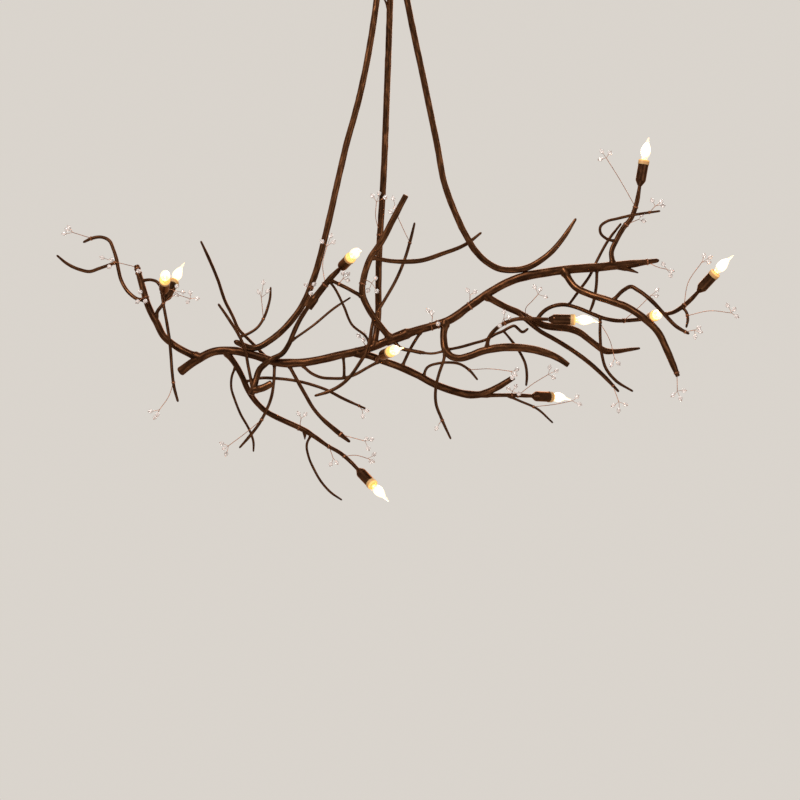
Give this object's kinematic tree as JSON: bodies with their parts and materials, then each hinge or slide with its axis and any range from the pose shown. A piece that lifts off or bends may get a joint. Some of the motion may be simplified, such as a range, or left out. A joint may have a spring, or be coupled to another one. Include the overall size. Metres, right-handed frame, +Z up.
{
  "type": "chandelier",
  "caption": "Hanging lamp of forged metal branches with candle bulbs that unscrew and wired crystal beads, on stems from a round ceiling canopy.",
  "frame": {"origin": "middle of the mounting bar's top face, in the plane of the ceiling", "axes": "+Z up, +X along the tree of branches to its right end as seen from the front, -Y the front"},
  "size_m": [1.7027, 0.3644, 1.403],
  "materials": {
    "bronze": "dark oil-rubbed bronze over forged bark",
    "brown_bronze": "reddish brown bronze over forged bark",
    "cup_metal": "satin, nearly black brown",
    "brass": "plain brass",
    "copper_wire": "satin copper lacquer",
    "socket": "matt, ivory",
    "crystal": "clear cut crystal with a faint rose tint",
    "bulb_glass": "clear blown glass, lit warm white"
  },
  "bodies": {
    "tree": {"mounting_bar": "brass", "centre_tube": "brass", "tube_nut": "brass", "canopy": "bronze", "canopy_ring": "bronze", "stem_hub": "bronze", "left_stem": "brown_bronze", "centre_stem": "brown_bronze", "right_stem": "brown_bronze", "trunk": "bronze", "right_limb": "bronze", "left_limb": "bronze", "crooked_branch": "brown_bronze", "front_branch": "brown_bronze", "lower_left_limb": "bronze", "lower_right_limb": "bronze", "drooping_branch": "brown_bronze", "forked_branches": "bronze", "outer_branch": "brown_bronze", "lamp_arms": "bronze", "left_twigs": "bronze", "middle_twigs": "brown_bronze", "right_twigs": "bronze", "lamp_cups": "cup_metal", "lamp_nipples": "brass", "lamp_sockets": "socket", "socket_contacts": "brass", "sprig_wires": "copper_wire", "crystal_beads": "crystal"},
    "bulb_shift_1": {"bulb_contact_1": "brass"},
    "bulb_1": {"bulb_glass_1": "bulb_glass", "bulb_base_1": "brass"},
    "bulb_shift_2": {"bulb_contact_2": "brass"},
    "bulb_2": {"bulb_glass_2": "bulb_glass", "bulb_base_2": "brass"},
    "bulb_shift_3": {"bulb_contact_3": "brass"},
    "bulb_3": {"bulb_glass_3": "bulb_glass", "bulb_base_3": "brass"},
    "bulb_shift_4": {"bulb_contact_4": "brass"},
    "bulb_4": {"bulb_glass_4": "bulb_glass", "bulb_base_4": "brass"},
    "bulb_shift_5": {"bulb_contact_5": "brass"},
    "bulb_5": {"bulb_glass_5": "bulb_glass", "bulb_base_5": "brass"},
    "bulb_shift_6": {"bulb_contact_6": "brass"},
    "bulb_6": {"bulb_glass_6": "bulb_glass", "bulb_base_6": "brass"},
    "bulb_shift_7": {"bulb_contact_7": "brass"},
    "bulb_7": {"bulb_glass_7": "bulb_glass", "bulb_base_7": "brass"},
    "bulb_shift_8": {"bulb_contact_8": "brass"},
    "bulb_8": {"bulb_glass_8": "bulb_glass", "bulb_base_8": "brass"},
    "bulb_shift_9": {"bulb_contact_9": "brass"},
    "bulb_9": {"bulb_glass_9": "bulb_glass", "bulb_base_9": "brass"},
    "bulb_shift_10": {"bulb_contact_10": "brass"},
    "bulb_10": {"bulb_glass_10": "bulb_glass", "bulb_base_10": "brass"}
  },
  "joints": [
    {"name": "bulb_out_1", "type": "slide", "parent": "tree", "child": "bulb_shift_1", "axis": [0.1138, -0.9102, 0.3982], "range_m": [0, 0.0128]},
    {"name": "bulb_screw_1", "type": "hinge", "parent": "bulb_shift_1", "child": "bulb_1", "pos_m": [-0.565, -0.002, -0.878], "axis": [0.1138, -0.9102, 0.3982], "range_deg": [0, 1800]},
    {"name": "bulb_out_2", "type": "slide", "parent": "tree", "child": "bulb_shift_2", "axis": [0.3162, 0.5692, 0.7589], "range_m": [0, 0.0128]},
    {"name": "bulb_screw_2", "type": "hinge", "parent": "bulb_shift_2", "child": "bulb_2", "pos_m": [-0.568, 0.052, -0.899], "axis": [0.3162, 0.5692, 0.7589], "range_deg": [0, 1800]},
    {"name": "bulb_out_3", "type": "slide", "parent": "tree", "child": "bulb_shift_3", "axis": [0.4165, -0.8329, 0.3644], "range_m": [0, 0.0128]},
    {"name": "bulb_screw_3", "type": "hinge", "parent": "bulb_shift_3", "child": "bulb_3", "pos_m": [-0.122, -0.1, -0.825], "axis": [0.4165, -0.8329, 0.3644], "range_deg": [0, 1800]},
    {"name": "bulb_out_4", "type": "slide", "parent": "tree", "child": "bulb_shift_4", "axis": [0.588, -0.5554, -0.588], "range_m": [0, 0.0128]},
    {"name": "bulb_screw_4", "type": "hinge", "parent": "bulb_shift_4", "child": "bulb_4", "pos_m": [-0.08, -0.022, -1.323], "axis": [0.588, -0.5554, -0.588], "range_deg": [0, 1800]},
    {"name": "bulb_out_5", "type": "slide", "parent": "tree", "child": "bulb_shift_5", "axis": [0.3678, -0.9196, 0.1379], "range_m": [0, 0.0128]},
    {"name": "bulb_screw_5", "type": "hinge", "parent": "bulb_shift_5", "child": "bulb_5", "pos_m": [-0.021, -0.06, -1.04], "axis": [0.3678, -0.9196, 0.1379], "range_deg": [0, 1800]},
    {"name": "bulb_out_6", "type": "slide", "parent": "tree", "child": "bulb_shift_6", "axis": [0.7735, 0.6328, -0.0352], "range_m": [0, 0.0128]},
    {"name": "bulb_screw_6", "type": "hinge", "parent": "bulb_shift_6", "child": "bulb_6", "pos_m": [0.36, 0.084, -1.14], "axis": [0.7735, 0.6328, -0.0352], "range_deg": [0, 1800]},
    {"name": "bulb_out_7", "type": "slide", "parent": "tree", "child": "bulb_shift_7", "axis": [0.9987, -0.0464, -0.0232], "range_m": [0, 0.0128]},
    {"name": "bulb_screw_7", "type": "hinge", "parent": "bulb_shift_7", "child": "bulb_7", "pos_m": [0.393, -0.064, -0.95], "axis": [0.9987, -0.0464, -0.0232], "range_deg": [0, 1800]},
    {"name": "bulb_out_8", "type": "slide", "parent": "tree", "child": "bulb_shift_8", "axis": [0.1238, -0.9904, 0.0619], "range_m": [0, 0.0128]},
    {"name": "bulb_screw_8", "type": "hinge", "parent": "bulb_shift_8", "child": "bulb_8", "pos_m": [0.651, 0.021, -0.944], "axis": [0.1238, -0.9904, 0.0619], "range_deg": [0, 1800]},
    {"name": "bulb_out_9", "type": "slide", "parent": "tree", "child": "bulb_shift_9", "axis": [0.1724, 0, 0.985], "range_m": [0, 0.0128]},
    {"name": "bulb_screw_9", "type": "hinge", "parent": "bulb_shift_9", "child": "bulb_9", "pos_m": [0.626, 0.022, -0.613], "axis": [0.1724, 0, 0.985], "range_deg": [0, 1800]},
    {"name": "bulb_out_10", "type": "slide", "parent": "tree", "child": "bulb_shift_10", "axis": [0.6223, -0.3501, 0.7001], "range_m": [0, 0.0128]},
    {"name": "bulb_screw_10", "type": "hinge", "parent": "bulb_shift_10", "child": "bulb_10", "pos_m": [0.762, -0.081, -0.882], "axis": [0.6223, -0.3501, 0.7001], "range_deg": [0, 1800]}
  ],
  "couplings": [
    {"joint": "bulb_out_1", "follows": "bulb_screw_1", "m_per_rad": 0.00040425},
    {"joint": "bulb_out_2", "follows": "bulb_screw_2", "m_per_rad": 0.00040425},
    {"joint": "bulb_out_3", "follows": "bulb_screw_3", "m_per_rad": 0.00040425},
    {"joint": "bulb_out_4", "follows": "bulb_screw_4", "m_per_rad": 0.00040425},
    {"joint": "bulb_out_5", "follows": "bulb_screw_5", "m_per_rad": 0.00040425},
    {"joint": "bulb_out_6", "follows": "bulb_screw_6", "m_per_rad": 0.00040425},
    {"joint": "bulb_out_7", "follows": "bulb_screw_7", "m_per_rad": 0.00040425},
    {"joint": "bulb_out_8", "follows": "bulb_screw_8", "m_per_rad": 0.00040425},
    {"joint": "bulb_out_9", "follows": "bulb_screw_9", "m_per_rad": 0.00040425},
    {"joint": "bulb_out_10", "follows": "bulb_screw_10", "m_per_rad": 0.00040425}
  ]
}
